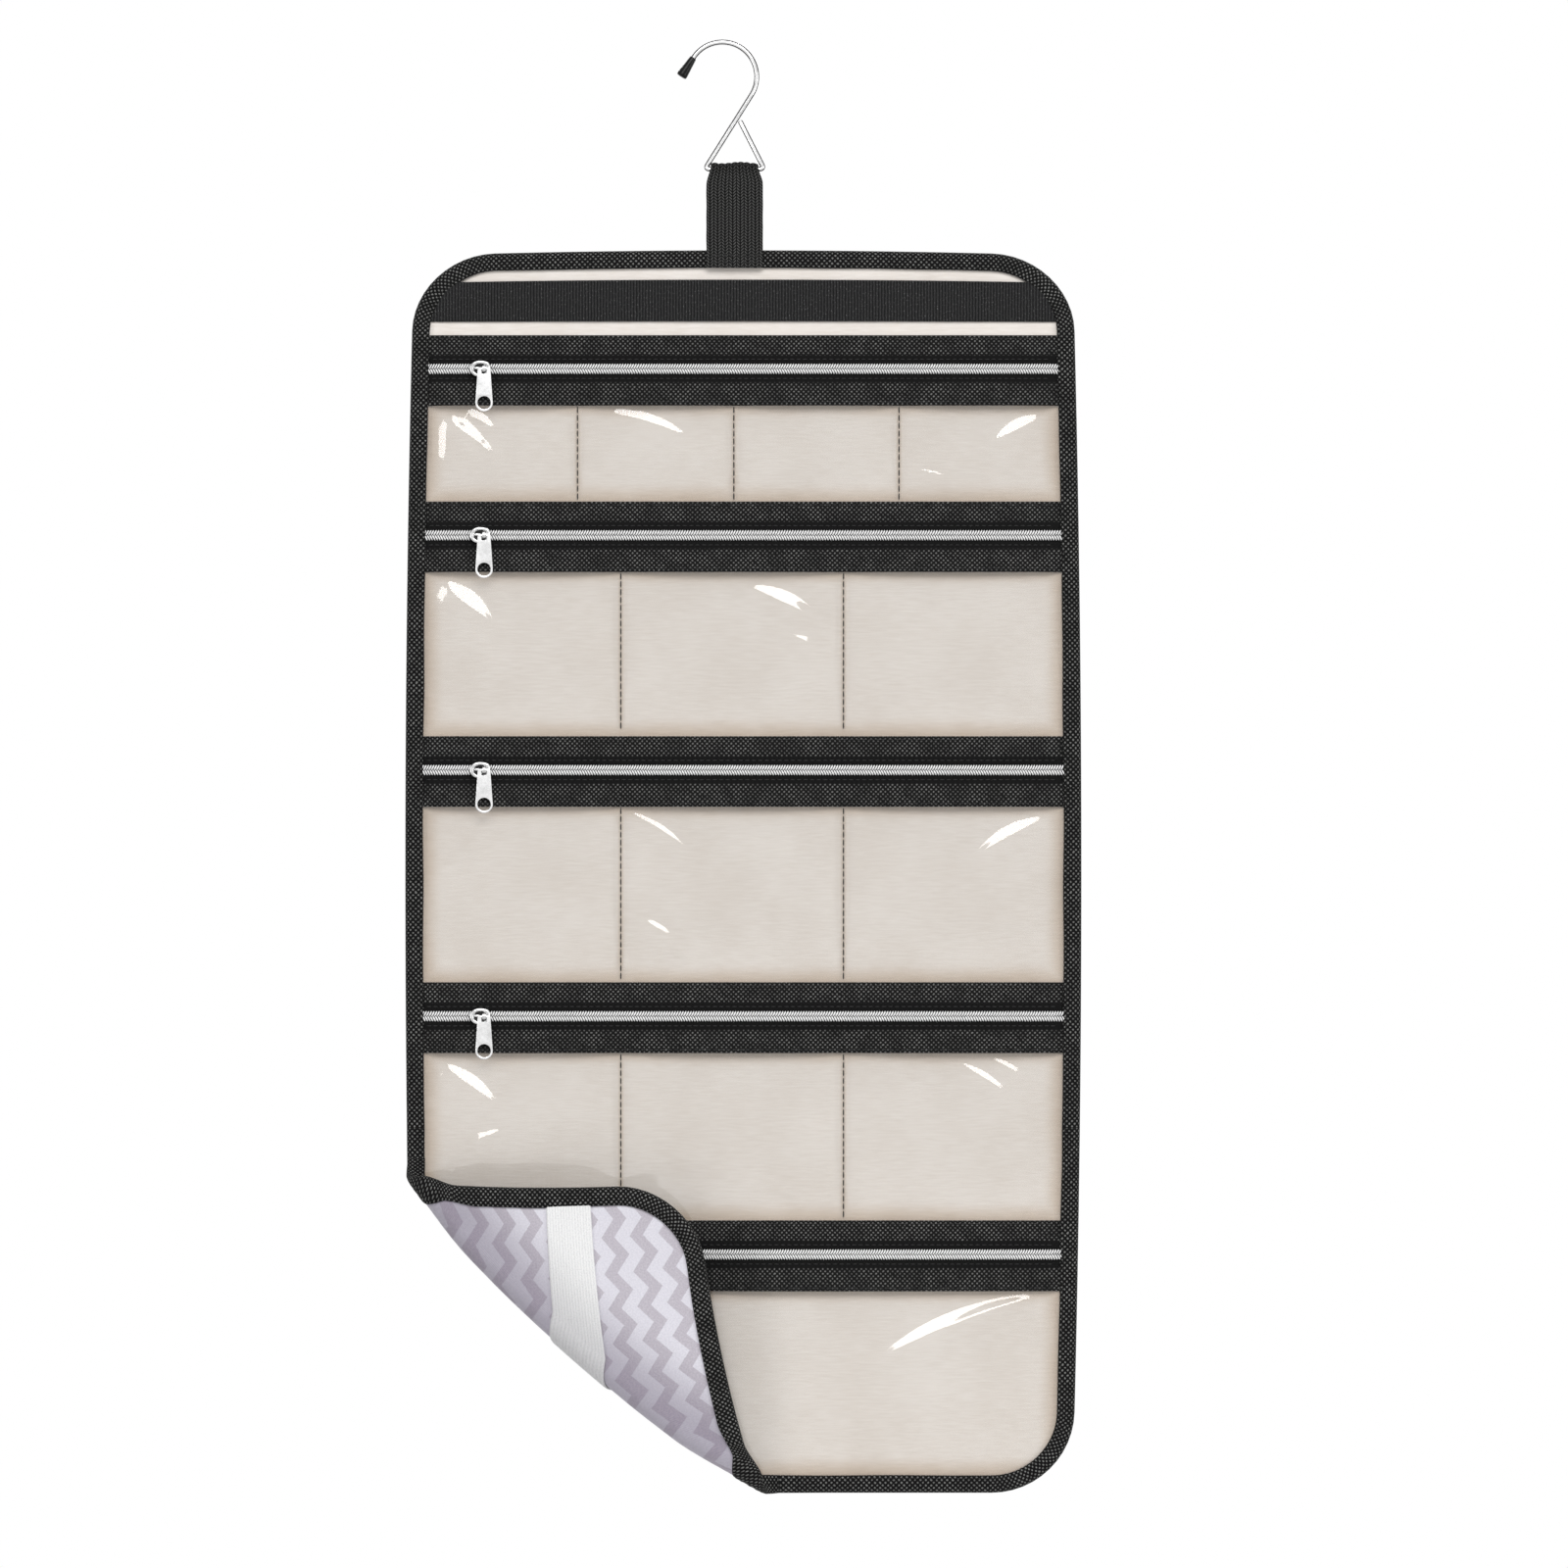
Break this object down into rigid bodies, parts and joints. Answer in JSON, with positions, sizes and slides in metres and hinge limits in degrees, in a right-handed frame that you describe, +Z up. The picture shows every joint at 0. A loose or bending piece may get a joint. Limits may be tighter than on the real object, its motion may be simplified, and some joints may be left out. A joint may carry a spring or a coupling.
{
  "type": "hanging jewelry roll",
  "caption": "Folding hanging roll with a wire hook, padded bound panel, clear zippered pocket rows and a hook-and-loop closure.",
  "frame": {"origin": "seat of the hook, the inside of its arc at the top, where a rod bears", "axes": "+Z up, -Y towards the front with the pockets, +X to the viewer's right"},
  "size_m": [0.3032, 0.0234, 0.6513],
  "materials": {
    "wire": "bright",
    "rubber": "matte",
    "webbing": "ribbed weave",
    "shell": "printed chevron",
    "padding": "foam",
    "lining": "fine weave",
    "binding": "coarse weave",
    "closure": "hook and loop",
    "band": "plain weave",
    "tape": "plain weave",
    "coil": "silver coated",
    "window": "clear vinyl",
    "slider": "polished",
    "strip": "loop pile"
  },
  "bodies": {
    "hook": {"hook_wire": "wire", "hook_tip": "rubber"},
    "top_panel": {"hanging_loop": "webbing", "top_lining": "lining", "top_padding": "padding", "top_shell": "shell", "top_binding": "binding", "closure_band": "closure", "upper_band_1": "band", "zipper_tape_1": "tape", "zipper_coil_1": "coil", "lower_band_1": "band", "window_1": "window", "upper_band_2": "band"},
    "middle_panel": {"middle_lining": "lining", "middle_padding": "padding", "middle_shell": "shell", "middle_binding_left": "binding", "middle_binding_right": "binding", "zipper_tape_2": "tape", "zipper_coil_2": "coil", "lower_band_2": "band", "window_2": "window", "upper_band_3": "band", "zipper_tape_3": "tape", "zipper_coil_3": "coil", "lower_band_3": "band", "window_3": "window", "upper_band_4": "band", "zipper_tape_4": "tape", "zipper_coil_4": "coil", "lower_band_4": "band"},
    "bottom_panel": {"bottom_lining": "lining", "bottom_padding": "padding", "bottom_shell": "shell", "bottom_binding_left": "binding", "bottom_binding_right": "binding", "window_4": "window", "upper_band_5": "band", "zipper_tape_5": "tape", "zipper_coil_5": "coil", "lower_band_5": "band", "window_5": "window", "back_strip": "strip"},
    "corner_flap": {"corner_lining": "lining", "corner_padding": "padding", "corner_shell": "shell", "corner_binding": "binding", "corner_pocket": "band", "corner_strip": "strip"},
    "slider_1": {"slider_1": "slider"},
    "pull_1": {"slider_pull_1": "slider"},
    "slider_2": {"slider_2": "slider"},
    "pull_2": {"slider_pull_2": "slider"},
    "slider_3": {"slider_3": "slider"},
    "pull_3": {"slider_pull_3": "slider"},
    "slider_4": {"slider_4": "slider"},
    "pull_4": {"slider_pull_4": "slider"},
    "slider_5": {"slider_5": "slider"},
    "pull_5": {"slider_pull_5": "slider"}
  },
  "joints": [
    {"name": "hook_swing", "type": "hinge", "parent": "hook", "child": "top_panel", "pos_m": [0.0055, 0, -0.0556], "axis": [1, 0, 0], "range_deg": [-60, 60]},
    {"name": "upper_fold", "type": "hinge", "parent": "top_panel", "child": "middle_panel", "pos_m": [0.0094, -0.0185, -0.21694], "axis": [-1, 0, 0], "range_deg": [0, 179.9], "stiffness_Nm_per_rad": 0.12, "springref_deg": -57.3},
    {"name": "lower_fold", "type": "hinge", "parent": "middle_panel", "child": "bottom_panel", "pos_m": [0.0094, -0.012, -0.45013], "axis": [-1, 0, 0], "range_deg": [0, 179.9], "stiffness_Nm_per_rad": 0.06, "springref_deg": -57.3},
    {"name": "corner_fold", "type": "hinge", "parent": "bottom_panel", "child": "corner_flap", "pos_m": [-0.07834, -0.0055, -0.57644], "axis": [0.7431, 0, -0.6691], "range_deg": [0, 179.9]},
    {"name": "zip_1", "type": "slide", "parent": "top_panel", "child": "slider_1", "axis": [1, 0, 0], "range_m": [0, 0.25]},
    {"name": "pull_turn_1", "type": "hinge", "parent": "slider_1", "child": "pull_1", "pos_m": [-0.1061, -0.00555, -0.1449], "axis": [-1, 0, 0], "range_deg": [0, 180]},
    {"name": "zip_2", "type": "slide", "parent": "middle_panel", "child": "slider_2", "axis": [1, 0, 0], "range_m": [0, 0.25]},
    {"name": "pull_turn_2", "type": "hinge", "parent": "slider_2", "child": "pull_2", "pos_m": [-0.1061, -0.00555, -0.21914], "axis": [-1, 0, 0], "range_deg": [0, 180]},
    {"name": "zip_3", "type": "slide", "parent": "middle_panel", "child": "slider_3", "axis": [1, 0, 0], "range_m": [0, 0.25]},
    {"name": "pull_turn_3", "type": "hinge", "parent": "slider_3", "child": "pull_3", "pos_m": [-0.1061, -0.00555, -0.32389], "axis": [-1, 0, 0], "range_deg": [0, 180]},
    {"name": "zip_4", "type": "slide", "parent": "middle_panel", "child": "slider_4", "axis": [1, 0, 0], "range_m": [0, 0.25]},
    {"name": "pull_turn_4", "type": "hinge", "parent": "slider_4", "child": "pull_4", "pos_m": [-0.1061, -0.00555, -0.43373], "axis": [-1, 0, 0], "range_deg": [0, 180]},
    {"name": "zip_5", "type": "slide", "parent": "bottom_panel", "child": "slider_5", "axis": [1, 0, 0], "range_m": [0, 0.23]},
    {"name": "pull_turn_5", "type": "hinge", "parent": "slider_5", "child": "pull_5", "pos_m": [-0.0857, -0.00555, -0.54], "axis": [-1, 0, 0], "range_deg": [0, 8]}
  ]
}
